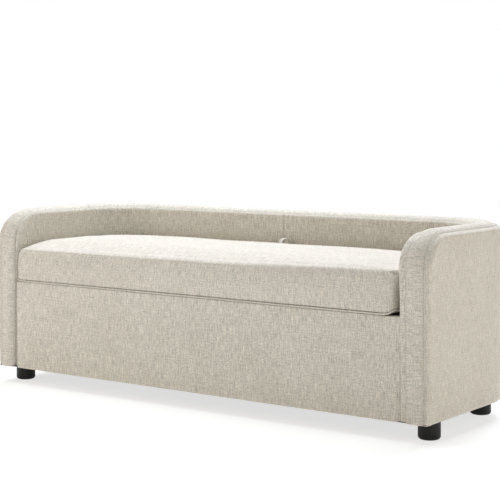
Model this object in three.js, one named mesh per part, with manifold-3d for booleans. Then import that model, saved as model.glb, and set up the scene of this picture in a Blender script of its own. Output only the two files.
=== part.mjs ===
// Upholstered storage bench: a padded box with a lift-off seat, and one padded wall that
// wraps round both ends and the back. Millimetres, +Z up, the front faces -Y.
// The origin is on the floor, under the middle of the plan.
import * as THREE from 'three';
import { mergeVertices } from 'three/addons/utils/BufferGeometryUtils.js';
import Module from 'manifold-3d';

const wasm = await Module();
wasm.setup();

// ---- Driving dimensions ----
const width = 1524;
const depth = 548;
const height = 538;
const underside = 51;        // height of the feet, up to the dust cover
const wall = 76;             // thickness of the arms and of the back
const outerCorner = 190;     // plan radius of the rear corners, outside
const innerCorner = 146;     // plan radius of the rear corners, inside
const armNose = 100;         // radius of an arm's front top corner, seen from the side
const lidRest = 318;         // height at which the seat rests on the box
const seatTop = 438;
const seatEdge = 20;         // radius of the cushion's top edges
const gap = 0.3;             // working gap between neighbouring pieces

const fabric = 1.5;
const pad = 6;
const bandFabric = 2.5;
const frontPad = 10;
const outerBoard = 9;
const innerBoard = 12;
const frontBoard = 15;
const floorBoard = 9;
const rail = 20;

const front = -depth / 2;
const frame = bandFabric + frontPad + 3 * gap;      // from the front or top face to the wood
const boardFace = fabric + pad + 2 * gap;            // from a side face to the wood
const boxFloor = underside + 1.5 + rail + gap;       // underside of the storage floor
const boardFoot = underside + 1.5;

const seatGapLeft = 1.5;
const seatGapRight = 9.5;
const seatGapBack = 3;

const footRadius = 29.5;
const footSpots = {
  front_left: [-724, front + 81], front_right: [724, front + 81],
  rear_left: [-686, -front - 108], rear_right: [686, -front - 108],
};

// ---- Materials ----
const finishes = {
  linen: ['#c8beae', 0.95, 0], foam: ['#ece3c4', 1, 0], ply: ['#c9a877', 0.7, 0],
  softwood: ['#d6b98a', 0.8, 0], lining: ['#2b2a29', 1, 0], black: ['#141313', 0.4, 0],
  steel: ['#9a9a98', 0.4, 1],
};
const bench = new THREE.Group();
bench.name = 'storage_bench';

function add(name, finish, geometry) {
  const [color, roughness, metalness] = finishes[finish];
  const mesh = new THREE.Mesh(geometry, new THREE.MeshStandardMaterial({ color, roughness, metalness }));
  mesh.material.name = `${name}_${finish}`;
  mesh.name = name;
  bench.add(mesh);
}

// ---- Solid tools ----
function toManifold(geometry) {
  const bare = geometry.clone();
  bare.deleteAttribute('normal');
  bare.deleteAttribute('uv');
  const merged = mergeVertices(bare, 1e-3);
  return new wasm.Manifold(new wasm.Mesh({
    numProp: 3,
    vertProperties: new Float32Array(merged.attributes.position.array),
    triVerts: new Uint32Array(merged.index.array),
  }));
}

function fromManifold(solid) {
  const mesh = solid.getMesh();
  const geometry = new THREE.BufferGeometry();
  geometry.setAttribute('position', new THREE.BufferAttribute(new Float32Array(mesh.vertProperties), 3));
  geometry.setIndex(new THREE.BufferAttribute(new Uint32Array(mesh.triVerts), 1));
  geometry.computeVertexNormals();
  return geometry;
}

const cut = (a, ...others) =>
  fromManifold(others.reduce((solid, b) => solid.subtract(toManifold(b)), toManifold(a)));
const common = (a, b) => fromManifold(toManifold(a).intersect(toManifold(b)));

function box(x0, x1, y0, y1, z0, z1) {
  return new THREE.BoxGeometry(x1 - x0, y1 - y0, z1 - z0)
    .translate((x0 + x1) / 2, (y0 + y1) / 2, (z0 + z1) / 2);
}

function prism(shape, z0, z1, curveSegments = 12) {
  return new THREE.ExtrudeGeometry(shape, { depth: z1 - z0, bevelEnabled: false, curveSegments })
    .translate(0, 0, z0);
}

function rod(radius, z0, z1, x, y, sides = 24) {
  return new THREE.CylinderGeometry(radius, radius, z1 - z0, sides)
    .rotateX(Math.PI / 2).translate(x, y, (z0 + z1) / 2);
}

// ---- Plan lines of the wall, measured in from its outside or out from its inside ----
const outerLine = (d) => ({ half: width / 2 - d, back: depth / 2 - d, r: outerCorner - d });
const innerLine = (d) => ({
  half: width / 2 - wall + d, back: depth / 2 - wall + d, r: innerCorner + d,
});

function wallRing(outside, inside, from, to) {
  const a = outside;
  const b = inside;
  const start = front - 5;
  const shape = new THREE.Shape();
  shape.moveTo(a.half, start);
  shape.lineTo(a.half, a.back - a.r);
  shape.absarc(a.half - a.r, a.back - a.r, a.r, 0, Math.PI / 2, false);
  shape.absarc(-a.half + a.r, a.back - a.r, a.r, Math.PI / 2, Math.PI, false);
  shape.lineTo(-a.half, start);
  shape.lineTo(-b.half, start);
  shape.lineTo(-b.half, b.back - b.r);
  shape.absarc(-b.half + b.r, b.back - b.r, b.r, Math.PI, Math.PI / 2, true);
  shape.absarc(b.half - b.r, b.back - b.r, b.r, Math.PI / 2, 0, true);
  shape.lineTo(b.half, start);
  return prism(shape, from, to);
}

// Everything behind and below the arms' nose line, moved in by d.
function insideNose(d, from = underside - 20) {
  const top = height - d;
  const face = front + d;
  const r = armNose - d;
  const shape = new THREE.Shape();
  shape.moveTo(face, from);
  shape.lineTo(depth, from);
  shape.lineTo(depth, top);
  shape.lineTo(face + r, top);
  shape.absarc(face + r, top - r, r, Math.PI / 2, Math.PI, false);
  const turn = new THREE.Matrix4().makeBasis(
    new THREE.Vector3(0, 1, 0), new THREE.Vector3(0, 0, 1), new THREE.Vector3(1, 0, 0));
  return new THREE.ExtrudeGeometry(shape, { depth: width + 40, bevelEnabled: false, curveSegments: 14 })
    .applyMatrix4(turn).translate(-width / 2 - 20, 0, 0);
}

// The area inside a wall line, closed across the front.
function boxArea(line, yFront) {
  const shape = new THREE.Shape();
  shape.moveTo(-line.half, yFront);
  shape.lineTo(line.half, yFront);
  shape.absarc(line.half - line.r, line.back - line.r, line.r, 0, Math.PI / 2, false);
  shape.absarc(-line.half + line.r, line.back - line.r, line.r, Math.PI / 2, Math.PI, false);
  return shape;
}

// ---- Wall: fabric, padding, boards ----
const wallFoot = underside + 0.5;
add('facing_band', 'linen', fromManifold(
  toManifold(common(wallRing(outerLine(0), innerLine(0), wallFoot, height + 5), insideNose(0)))
    .subtract(toManifold(insideNose(bandFabric)))));
add('top_pad', 'foam', fromManifold(
  toManifold(common(wallRing(outerLine(fabric + gap), innerLine(fabric + gap), boardFoot, height), insideNose(bandFabric + gap)))
    .subtract(toManifold(insideNose(frame - gap)))));

const skinTop = insideNose(bandFabric + gap);
const padTop = insideNose(frame);
add('outer_cover', 'linen', common(
  wallRing(outerLine(0), outerLine(fabric), wallFoot, height), skinTop));
add('inner_cover', 'linen', common(
  wallRing(innerLine(fabric), innerLine(0), lidRest + 2, height), skinTop));
add('outer_pad', 'foam', common(
  wallRing(outerLine(fabric + gap), outerLine(boardFace - gap), boardFoot, height), padTop));
add('inner_pad', 'foam', common(
  wallRing(innerLine(boardFace - gap), innerLine(fabric + gap), lidRest + 2, height), padTop));

const boardTop = height - frame;
const boardFront = front + frame;

function cornerPanel(line, thickness, side) {
  const cx = side * (line.half - line.r);
  const cy = line.back - line.r;
  const [from, to] = side > 0 ? [0, Math.PI / 2] : [Math.PI / 2, Math.PI];
  const shape = new THREE.Shape();
  shape.absarc(cx, cy, line.r, from, to, false);
  shape.absarc(cx, cy, line.r - thickness, to, from, true);
  return prism(shape, boardFoot, boardTop);
}

for (const [name, side] of [['left', -1], ['right', 1]]) {
  const panel = (x0, x1, y0, y1, z0 = boardFoot, z1 = boardTop) =>
    box(Math.min(side * x0, side * x1), Math.max(side * x0, side * x1), y0, y1, z0, z1);
  const out = outerLine(boardFace);
  const into = innerLine(boardFace + innerBoard);
  const hollow = [into.half + gap, out.half - outerBoard - gap];

  add(`${name}_outer_board`, 'ply', common(
    panel(out.half - outerBoard, out.half, boardFront, out.back - out.r - gap), padTop));
  add(`${name}_outer_corner`, 'ply', cornerPanel(out, outerBoard, side));
  add(`${name}_inner_board`, 'ply', common(
    panel(into.half - innerBoard, into.half, boardFront, into.back - into.r - gap), padTop));
  add(`${name}_inner_corner`, 'ply', cornerPanel(into, innerBoard, side));

  add(`${name}_front_post`, 'softwood', common(
    panel(...hollow, boardFront, boardFront + 45), padTop));
  add(`${name}_top_rail`, 'softwood', common(
    panel(...hollow, boardFront + 45 + gap, 50, boardTop - 40), padTop));
  add(`${name}_rear_post`, 'softwood', panel(...hollow, 20, 50, boardFoot, boardTop - 40 - gap));
}

const backOut = outerLine(boardFace);
const backIn = innerLine(boardFace + innerBoard);
const backHalf = backOut.half - backOut.r - gap;
const backInHalf = backIn.half - backIn.r - gap;
const backHollow = [backIn.back + gap, backOut.back - outerBoard - gap];
add('back_outer_board', 'ply',
  box(-backHalf, backHalf, backOut.back - outerBoard, backOut.back, boardFoot, boardTop));
add('back_inner_board', 'ply',
  box(-backInHalf, backInHalf, backIn.back - innerBoard, backIn.back, boardFoot, boardTop));
add('back_top_rail', 'softwood', box(-535, 535, ...backHollow, boardTop - 40, boardTop));
for (const [name, x] of [['back_left_post', -520], ['back_middle_post', 0], ['back_right_post', 520]]) {
  add(name, 'softwood', box(x - 15, x + 15, ...backHollow, boardFoot, boardTop - 40 - gap));
}

// ---- Front panel ----
const panelHalf = width / 2 - wall - 1.5;
const coverTop = lidRest - gap;
const coverShape = new THREE.Shape();
coverShape.moveTo(front, wallFoot);
coverShape.lineTo(front + bandFabric, wallFoot);
coverShape.lineTo(front + bandFabric, coverTop - 2);
coverShape.lineTo(boardFront + frontBoard, coverTop - 2);
coverShape.lineTo(boardFront + frontBoard, coverTop);
coverShape.lineTo(front, coverTop);
add('front_cover', 'linen', prism(coverShape, 0, 2 * panelHalf).applyMatrix4(new THREE.Matrix4().makeBasis(
  new THREE.Vector3(0, 1, 0), new THREE.Vector3(0, 0, 1), new THREE.Vector3(1, 0, 0)))
  .translate(-panelHalf, 0, 0));
add('front_pad', 'foam', box(-panelHalf + 1, panelHalf - 1, front + bandFabric + gap,
  boardFront - gap, boardFoot, coverTop - 2 - gap));
const boxHalf = innerLine(boardFace - gap).half;
add('front_board', 'ply', box(-boxHalf, boxHalf, boardFront, boardFront + frontBoard,
  boardFoot, coverTop - 2 - gap));

// ---- Storage box: bottom frame, floor, lining, seat supports ----
const boxFront = boardFront + frontBoard + gap;
const boxLine = innerLine(boardFace - gap);
const railBox = (x0, x1, y0, y1) => box(x0, x1, y0, y1, boardFoot, boxFloor - gap);
const railBack = boxLine.back - 44;
add('front_rail', 'softwood', railBox(-690, 690, boxFront, boxFront + 40));
add('rear_rail', 'softwood', railBox(-530, 530, railBack, railBack + 40));
add('left_rail', 'softwood', railBox(-690, -650, boxFront + 40 + gap, 40));
add('right_rail', 'softwood', railBox(650, 690, boxFront + 40 + gap, 40));
add('middle_rail', 'softwood', railBox(-20, 20, boxFront + 40 + gap, railBack - gap));
add('storage_floor', 'ply', prism(boxArea(boxLine, boxFront), boxFloor, boxFloor + floorBoard));

const liningFoot = boxFloor + floorBoard + gap;
const cleatFoot = lidRest - gap - rail;
add('storage_lining', 'lining', cut(
  prism(boxArea(boxLine, boxFront), liningFoot, cleatFoot - gap),
  prism(boxArea(innerLine(boardFace - gap - 1.2), boxFront + 1.2), liningFoot + 1.2, lidRest)));

add('left_seat_support', 'softwood', box(-boxLine.half, -boxLine.half + rail, boxFront, 30, cleatFoot, lidRest - gap));
add('right_seat_support', 'softwood', box(boxLine.half - rail, boxLine.half, boxFront, 30, cleatFoot, lidRest - gap));
add('rear_seat_support', 'softwood', box(-520, 520, boxLine.back - rail, boxLine.back, cleatFoot, lidRest - gap));

// ---- Feet, their studs and blocks, and the dust cover they pass through ----
const studRadius = 4;
const hole = studRadius + gap;
const cavity = wallRing(outerLine(boardFace + outerBoard + gap),
  innerLine(boardFace + innerBoard + gap), boardFoot, boxFloor - gap);
const studHoles = [];
for (const [name, [x, y]] of Object.entries(footSpots)) {
  const profile = [[0, 0], [footRadius - 10, 0]];
  for (let i = 1; i <= 5; i += 1) {
    const a = (i / 5) * Math.PI / 2;
    profile.push([footRadius - 10 + 10 * Math.sin(a), 10 - 10 * Math.cos(a)]);
  }
  profile.push([footRadius, underside - gap], [hole, underside - gap], [hole, 22], [0, 22]);
  add(`${name}_foot`, 'black', new THREE.LatheGeometry(profile.map((p) => new THREE.Vector2(...p)), 36)
    .rotateX(Math.PI / 2).translate(x, y, 0));
  add(`${name}_stud`, 'steel', rod(studRadius, 22 + gap, boardFoot + rail - 2, x, y, 16));
  const bore = rod(hole, underside - 1, boxFloor + 5, x, y, 16);
  const long = name.startsWith('front');
  const block = long
    ? box(x - 60, x + 60, boardFront + 45 + gap, y + 60, boardFoot, boxFloor - gap)
    : box(x - 45, x + 45, y - 55, y + 65, boardFoot, boxFloor - gap);
  add(`${name}_block`, 'softwood', cut(common(cavity, block), bore));
  studHoles.push(bore);
}
add('dust_cover', 'lining', cut(
  prism(boxArea(outerLine(3), front + 3), underside, underside + 1.2), ...studHoles));

// ---- Seat: board, stiffeners, foam, fabric and pull loop ----
const seatLeft = -width / 2 + wall + seatGapLeft;
const seatRight = width / 2 - wall - seatGapRight;
const seatBack = depth / 2 - wall - seatGapBack;

// The seat's plan, moved in by d, as a ring of points that keeps the same count for any d.
function seatPlan(d, nose = 12) {
  const r = innerCorner - seatGapBack - d;
  const ring = [];
  const arc = (cx, cy, radius, from, steps) => {
    for (let i = 0; i <= steps; i += 1) {
      const a = from + (i / steps) * Math.PI / 2;
      ring.push(new THREE.Vector2(cx + radius * Math.cos(a), cy + radius * Math.sin(a)));
    }
  };
  const small = Math.max(nose - d, 1);
  arc(seatLeft + d + small, front + d + small, small, Math.PI, 3);
  arc(seatRight - d - small, front + d + small, small, -Math.PI / 2, 3);
  arc(seatRight - d - r, seatBack - d - r, r, 0, 10);
  arc(seatLeft + d + r, seatBack - d - r, r, Math.PI / 2, 10);
  return ring;
}

const seatPrism = (d, z0, z1, nose) => prism(new THREE.Shape(seatPlan(d, nose)), z0, z1);

// A cushion block: straight sides and a top edge rounded with radius r.
function cushion(d, z0, z1, r) {
  const steps = 5;
  const levels = [[d, z0], [d, z1 - r]];
  for (let i = 1; i <= steps; i += 1) {
    const a = (i / steps) * Math.PI / 2;
    levels.push([d + r * (1 - Math.cos(a)), z1 - r + r * Math.sin(a)]);
  }
  const rings = levels.map(([inset, z]) => seatPlan(inset).map((p) => [p.x, p.y, z]));
  const count = rings[0].length;
  const index = [];
  for (let k = 0; k + 1 < rings.length; k += 1) {
    for (let i = 0; i < count; i += 1) {
      const j = (i + 1) % count;
      const [a, b, c, e] = [k * count + i, k * count + j, (k + 1) * count + j, (k + 1) * count + i];
      index.push(a, b, c, a, c, e);
    }
  }
  const topStart = (rings.length - 1) * count;
  const flat = (ring) => THREE.ShapeUtils.triangulateShape(ring.map((p) => new THREE.Vector2(p[0], p[1])), []);
  for (const [a, b, c] of flat(rings[0])) index.push(c, b, a);
  for (const [a, b, c] of flat(rings.at(-1))) index.push(topStart + a, topStart + b, topStart + c);
  const geometry = new THREE.BufferGeometry();
  geometry.setAttribute('position', new THREE.Float32BufferAttribute(rings.flat(2), 3));
  geometry.setIndex(index);
  geometry.computeVertexNormals();
  return geometry;
}

const stripTop = lidRest + 7;
const foldUnder = 25;
add('seat_edge_strip', 'linen', cut(
  seatPrism(0, lidRest, stripTop),
  seatPrism(fabric, lidRest + 1.2, stripTop + 1),
  seatPrism(foldUnder, lidRest - 1, lidRest + 2)));
add('seat_underside', 'lining', seatPrism(foldUnder + gap, lidRest, lidRest + 1.2));
const seatBoardFoot = lidRest + 1.2 + gap;
// The board stops short of the cover, and its front corners are cut round, so that the cover can lift there.
const boardInset = 9;
const boardCorner = 45;
add('seat_board', 'ply', seatPrism(boardInset, seatBoardFoot, seatBoardFoot + 12, boardCorner));
add('seat_foam', 'foam', cushion(fabric + gap, seatBoardFoot + 12 + gap, seatTop - fabric - gap, seatEdge - 2));
const seatBody = cushion(0, stripTop + gap, seatTop, seatEdge);
add('seat_cover', 'linen', cut(seatBody, cushion(fabric, stripTop - 1, seatTop - fabric, seatEdge - fabric)));
for (const [name, x] of [['seat_left_stiffener', -404], ['seat_right_stiffener', 396]]) {
  add(name, 'softwood', box(x - 22, x + 22, -200, 150, lidRest - rail, lidRest - gap));
}

const loop = { half: 20, rise: 17, strap: 2.5, width: 12, foot: seatTop - 12 };
const loopShape = new THREE.Shape();
loopShape.moveTo(-loop.half, loop.foot);
loopShape.lineTo(-loop.half + loop.strap, loop.foot);
loopShape.lineTo(-loop.half + loop.strap, seatTop);
loopShape.absellipse(0, seatTop, loop.half - loop.strap, loop.rise - loop.strap, Math.PI, 0, true);
loopShape.lineTo(loop.half - loop.strap, loop.foot);
loopShape.lineTo(loop.half, loop.foot);
loopShape.lineTo(loop.half, seatTop);
loopShape.absellipse(0, seatTop, loop.half, loop.rise, 0, Math.PI, false);
const loopArch = new THREE.ExtrudeGeometry(loopShape, {
  depth: loop.width, bevelEnabled: false, curveSegments: 10,
}).rotateX(Math.PI / 2).translate(0, seatBack - 2, 0);
add('pull_loop', 'linen', cut(loopArch, cushion(-gap, stripTop, seatTop + gap, seatEdge)));

export default bench;
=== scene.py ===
import math

import bmesh
import bpy
import numpy as np
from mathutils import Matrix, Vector, kdtree


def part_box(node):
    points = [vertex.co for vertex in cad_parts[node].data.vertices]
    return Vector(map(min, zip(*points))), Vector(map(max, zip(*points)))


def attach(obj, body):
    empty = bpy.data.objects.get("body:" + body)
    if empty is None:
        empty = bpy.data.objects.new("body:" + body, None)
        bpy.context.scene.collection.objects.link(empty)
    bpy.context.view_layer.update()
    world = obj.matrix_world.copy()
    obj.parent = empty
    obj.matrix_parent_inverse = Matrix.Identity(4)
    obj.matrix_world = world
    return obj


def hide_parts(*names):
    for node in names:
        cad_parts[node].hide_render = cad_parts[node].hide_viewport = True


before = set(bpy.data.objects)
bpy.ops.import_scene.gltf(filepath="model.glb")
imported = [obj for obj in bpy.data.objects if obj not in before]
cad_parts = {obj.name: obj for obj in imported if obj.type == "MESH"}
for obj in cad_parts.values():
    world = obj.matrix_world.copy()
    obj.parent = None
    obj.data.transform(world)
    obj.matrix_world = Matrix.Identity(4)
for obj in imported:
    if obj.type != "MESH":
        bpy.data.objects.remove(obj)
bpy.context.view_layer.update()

# ---------------------------------------------------------------- sizes, in metres
MM = 0.001
band_low, band_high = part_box("facing_band")
HALF = band_high.x
FRONT = band_low.y
BACK = band_high.y
TOP = band_high.z
WALL_FOOT = band_low.z
WALL = 76 * MM
OUTER_CORNER = 190 * MM
INNER_CORNER = 146 * MM
NOSE = 100 * MM
# the facing band: its seams' distance from the wall's faces, how deep they and the stitches sink, and how
# far it is domed on the arm's front and along the top
SEAM = 12 * MM
GROOVE = 1.2 * MM
INNER_GROOVE = 0.5 * MM
STITCH_OFFSET = 4 * MM
STITCH_CHANNEL = 1.1 * MM
DOME_LEG = 3 * MM
DOME_TOP = 9.5 * MM
# how far the band falls away towards its inner seam, on the front of the right (1) and the left (-1) arm
INNER_FALL = {1: 0.6 * MM, -1: 6.5 * MM}
LID_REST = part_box("seat_edge_strip")[0].z
CLOTH = 1.4 * MM

seat_low, seat_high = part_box("seat_cover")
panel_low, panel_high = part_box("front_cover")


# ---------------------------------------------------------------- mesh building
def new_object(name, data):
    """An object with this data, in the scene."""
    obj = bpy.data.objects.new(name, data)
    bpy.context.scene.collection.objects.link(obj)
    return obj


class Cloth:
    """Collects grids of points with their place on the cloth, (u, v) in metres, for one mesh."""

    def __init__(self):
        self.points = []
        self.faces = []
        self.places = []

    def grid(self, points, places, keep=None, flip=False):
        """Quads between rows and columns of points. keep(row, column) says which corners of a quad stay."""
        points = np.asarray(points, float)
        places = np.asarray(places, float)
        rows, columns = points.shape[:2]
        start = len(self.points)
        self.points.extend(points.reshape(-1, 3))
        flat = places.reshape(-1, 2)
        for r in range(rows - 1):
            for c in range(columns - 1):
                corners = [(r, c), (r, c + 1), (r + 1, c + 1), (r + 1, c)]
                if keep is not None:
                    corners = [corners[k] for k in keep(r, c)]
                if len(corners) < 3:
                    continue
                if flip:
                    corners = corners[::-1]
                index = [a * columns + b for a, b in corners]
                self.faces.append([start + i for i in index])
                self.places.append([flat[i] for i in index])

    def make(self, name, material, weld=0.02 * MM):
        """One smooth-shaded object of all the grids, joined where their points meet."""
        mesh = bpy.data.meshes.new(name)
        mesh.from_pydata([tuple(p) for p in self.points], [], self.faces)
        layer = mesh.uv_layers.new(name="cloth")
        layer.data.foreach_set("uv", np.concatenate([np.ravel(q) for q in self.places]).astype(np.float32))
        obj = new_object(name, mesh)
        bm = bmesh.new()
        bm.from_mesh(mesh)
        bmesh.ops.remove_doubles(bm, verts=bm.verts, dist=weld)
        bmesh.ops.dissolve_degenerate(bm, edges=bm.edges, dist=weld / 2)
        bm.to_mesh(mesh)
        bm.free()
        mesh.materials.append(material)
        mesh.polygons.foreach_set("use_smooth", [True] * len(mesh.polygons))
        return obj


def bake_modifiers(obj):
    """The object's mesh becomes what its modifiers make of it, and they go."""
    graph = bpy.context.evaluated_depsgraph_get()
    graph.update()
    mesh = bpy.data.meshes.new_from_object(obj.evaluated_get(graph), depsgraph=graph)
    obj.modifiers.clear()
    old = obj.data
    obj.data = mesh
    mesh.name = obj.name
    bpy.data.meshes.remove(old)
    return obj


def thicken(obj, thickness=CLOTH):
    """Gives a sheet of cloth its thickness, inward from its outer face."""
    solid = obj.modifiers.new("thickness", "SOLIDIFY")
    solid.thickness = thickness
    solid.offset = -1
    solid.use_even_offset = False
    return bake_modifiers(obj)


def subdivide(obj, levels=1):
    """Finer, smoother faces; open edges and cloth places keep their corners."""
    sub = obj.modifiers.new("subdivide", "SUBSURF")
    sub.levels = levels
    sub.render_levels = levels
    sub.boundary_smooth = "PRESERVE_CORNERS"
    sub.uv_smooth = "PRESERVE_BOUNDARIES"
    return bake_modifiers(obj)


def vectors(points, key="co"):
    """One vector for each of a mesh's points: its place, or its normal."""
    values = np.empty(len(points) * 3)
    points.foreach_get(key, values)
    return values.reshape(-1, 3)


def coordinates(obj):
    """The places of the object's points, one row each."""
    return vectors(obj.data.vertices)


def set_coordinates(obj, co):
    """Moves the object's points to new places."""
    obj.data.vertices.foreach_set("co", co.astype(np.float32).ravel())
    obj.data.update()


def smoothstep(t):
    """0 up to t = 0, 1 from t = 1, with a smooth rise between."""
    t = np.clip(t, 0, 1)
    return t * t * (3 - 2 * t)


def soft_fade(distance, reach):
    """1 at no distance, falling smoothly to 0 at reach."""
    return 1 - smoothstep(distance / reach)


def straight_fade(distance, reach):
    """1 at no distance, falling evenly to 0 at reach."""
    return np.clip(1 - distance / reach, 0, 1)


def unit(direction):
    """The same directions with length 1."""
    return direction / np.linalg.norm(direction, axis=-1, keepdims=True)


def running_length(points):
    """The length of a line of points up to each of them."""
    return np.concatenate([[0], np.cumsum(np.linalg.norm(np.diff(points, axis=0), axis=1))])


def waves(points, size, seed, count=9):
    """A smooth field from about -1 to 1 that changes over about size metres: a few plane waves, each with
    its own random way from a fixed seed."""
    rng = np.random.default_rng(seed)
    total = np.zeros(len(points))
    for _ in range(count):
        way = unit(rng.normal(size=3))
        length = size * rng.uniform(0.7, 1.6)
        total += np.sin(points @ way * (2 * math.pi / length) + rng.uniform(0, 2 * math.pi))
    return total / math.sqrt(count)


# ---------------------------------------------------------------- materials
def scaled(color, factor):
    """A lighter or darker tone of a colour."""
    return tuple(min(1.0, c * factor) for c in color)


class Shader:
    """One material's node tree, with short names for the nodes that it uses."""

    def __init__(self, name, color, roughness, **sockets):
        self.material = bpy.data.materials.new(name)
        self.material.use_nodes = True
        self.material.diffuse_color = (*color, 1)
        self.tree = self.material.node_tree
        self.tree.nodes.clear()
        self.out = self.tree.nodes.new("ShaderNodeOutputMaterial")
        self.surface = self.node("BsdfPrincipled", Base_Color=(*color, 1), Roughness=roughness, **sockets)
        self.put(self.out.inputs[0], self.surface.outputs[0])
        self.coordinates = self.node("TexCoord")

    def node(self, kind, **inputs):
        """A new node, with a value or a link for each named input."""
        node = self.tree.nodes.new("ShaderNode" + kind)
        for key, value in inputs.items():
            self.put(node.inputs[key.replace("_", " ")], value)
        return node

    def put(self, socket, value):
        if isinstance(value, bpy.types.NodeSocket):
            self.tree.links.new(value, socket)
        else:
            socket.default_value = value

    def surface_is(self, node):
        """Another kind of surface takes the place of the Principled one."""
        self.tree.nodes.remove(self.surface)
        self.put(self.out.inputs[0], node.outputs[0])

    def color(self, value):
        self.put(self.surface.inputs["Base Color"], value)

    def roughness(self, value, low, high):
        self.put(self.surface.inputs["Roughness"], self.plus(self.times(value, high - low), low))

    def relief(self, height, strength, distance, under=None):
        """Bumps the surface by a height field, over an earlier bump if there is one."""
        bump = self.node("Bump", Strength=strength, Distance=distance, Height=height)
        if under is not None:
            self.put(bump.inputs["Normal"], under)
        self.put(self.surface.inputs["Normal"], bump.outputs[0])
        return bump.outputs[0]

    def mapped(self, source, scale=(1, 1, 1), location=(0, 0, 0)):
        """A kind of coordinates by its name, or another vector, stretched and moved."""
        vector = self.coordinates.outputs[source] if isinstance(source, str) else source
        return self.node("Mapping", Vector=vector, Scale=scale, Location=location).outputs[0]

    def noise(self, vector, scale=1.0, detail=2.0, rough=0.5, distortion=0.0):
        """Soft random values from 0 to 1."""
        settings = {"Scale": scale, "Detail": detail, "Roughness": rough, "Distortion": distortion}
        return self.node("TexNoise", Vector=vector, **settings).outputs[0]

    def math(self, operation, a, b=0.0, clamp=False):
        """One sum on two values, kept between 0 and 1 if clamped."""
        node = self.node("Math")
        node.operation = operation
        node.use_clamp = clamp
        self.put(node.inputs[0], a)
        self.put(node.inputs[1], b)
        return node.outputs[0]

    def plus(self, a, b):
        return self.math("ADD", a, b)

    def times(self, a, b):
        return self.math("MULTIPLY", a, b)

    def ripple(self, value, length):
        """A sine wave of the given length in metres."""
        return self.math("SINE", self.times(value, 2 * math.pi / length))

    def blend(self, a, b, share):
        """A share of a and the rest of b."""
        return self.plus(self.times(a, share), self.times(b, 1 - share))

    def split(self, vector):
        return self.node("SeparateXYZ", Vector=vector).outputs

    def multiplied(self, factor, a, b):
        """Colour a darkened by colour b, more or less by the factor."""
        node = self.node("Mix")
        node.data_type = "RGBA"
        node.blend_type = "MULTIPLY"
        for socket, value in ((0, factor), (6, a), (7, b)):
            self.put(node.inputs[socket], value)
        return node.outputs[2]

    def ramp(self, value, stops):
        """Colours for a value: stops are (place, colour)."""
        node = self.node("ValToRGB", Fac=value)
        ramp = node.color_ramp
        while len(ramp.elements) < len(stops):
            ramp.elements.new(0.5)
        for element, (place, color) in zip(ramp.elements, stops):
            element.position = place
            element.color = (*color, 1)
        return node.outputs[0]

    def tones(self, value, color, stops):
        """Darker and lighter tones of one colour for a value: stops are (place, factor)."""
        return self.ramp(value, [(place, scaled(color, factor)) for place, factor in stops])


def linen(name, color=(0.66, 0.615, 0.535), yarn=1.5 * MM, seed=0.0, contrast=1.0):
    """Oatmeal linen: a plain weave with thick and thin yarns, flecks a few millimetres long, and slow
    changes of tone."""
    s = Shader(name, color, 0.92, Sheen_Weight=0.12, Sheen_Roughness=0.55, Specular_IOR_Level=0.25)
    plain = s.mapped("UV", location=(seed, seed * 0.7, 0))

    def noise(across, along, at=(0, 0), detail=1.0):
        """Noise with so many cells to the metre across and along the cloth."""
        return s.noise(s.mapped(plain, (across, along, 1), (*at, 0)), detail=detail)

    wobble = noise(90, 90)
    shift = s.times(s.math("SUBTRACT", wobble, 0.5), 1.6 * MM)
    across, along, _ = s.split(plain)
    weave = s.times(s.ripple(s.plus(across, shift), 2 * yarn), s.ripple(s.plus(along, shift), 2 * yarn))
    upright = noise(390, 40, detail=1.5)
    level = noise(58, 340, at=(3.7, 1.9), detail=1.5)
    nubs = noise(330, 270, at=(7.7, 4.9))
    threads = s.blend(s.blend(upright, level, 0.64), nubs, 0.62)
    long_warp = noise(260, 10, at=(8.3, 0.4))
    long_weft = noise(10, 260, at=(0.3, 6.1))
    tone = s.blend(threads, s.blend(long_warp, long_weft, 0.6), 0.82)
    steps = ((0.34, -0.44), (0.455, -0.12), (0.545, 0.10), (0.66, 0.38))
    fleck = s.tones(tone, color, [(place, 1 + contrast * step) for place, step in steps])
    slow = noise(9, 7, at=(5.1, 2.2), detail=2.0)
    slow_tint = s.ramp(slow, [(0.3, (0.955, 0.95, 0.94)), (0.7, (1, 1, 1))])
    gaps = s.ramp(s.blend(weave, 1.0, 0.5), [(0.0, (0.9, 0.89, 0.88)), (0.55, (1, 1, 1))])
    s.color(s.multiplied(0.75, s.multiplied(1.0, fleck, slow_tint), gaps))
    s.roughness(threads, 0.82, 0.98)
    fine = s.relief(weave, 0.35, 0.25 * MM)
    s.relief(s.blend(upright, level, 0.6), 0.45, 0.9 * MM, fine)
    return s.material


def webbing(name="webbing", color=(0.80, 0.76, 0.69)):
    """A narrow woven strap: fine ribs across it."""
    s = Shader(name, color, 0.8, Sheen_Weight=0.15)
    place = s.mapped("UV")
    across, along, _ = s.split(place)
    tone = s.noise(s.mapped(place, (500, 120, 1)))
    s.color(s.tones(tone, color, [(0.3, 0.86), (0.7, 1.06)]))
    s.relief(s.times(s.ripple(along, 1.2 * MM), s.ripple(across, 1.6 * MM)), 0.4, 0.3 * MM)
    return s.material


# painted shade: the thread's default colour is darker than the linen so that the stitch rows read as dark
# lines
def thread(name="thread", color=(0.50, 0.455, 0.385)):
    """Sewing thread with its twist, coloured darker than the linen: painted shade for the dark lines of its
    sunk stitch channels.
    """
    s = Shader(name, color, 0.7, Sheen_Weight=0.2)
    twist = s.noise(s.mapped("Object", (900, 900, 900)), detail=1.0)
    s.color(s.tones(twist, color, [(0.3, 0.8), (0.7, 1.15)]))
    s.relief(twist, 0.4, 0.2 * MM)
    return s.material


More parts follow.
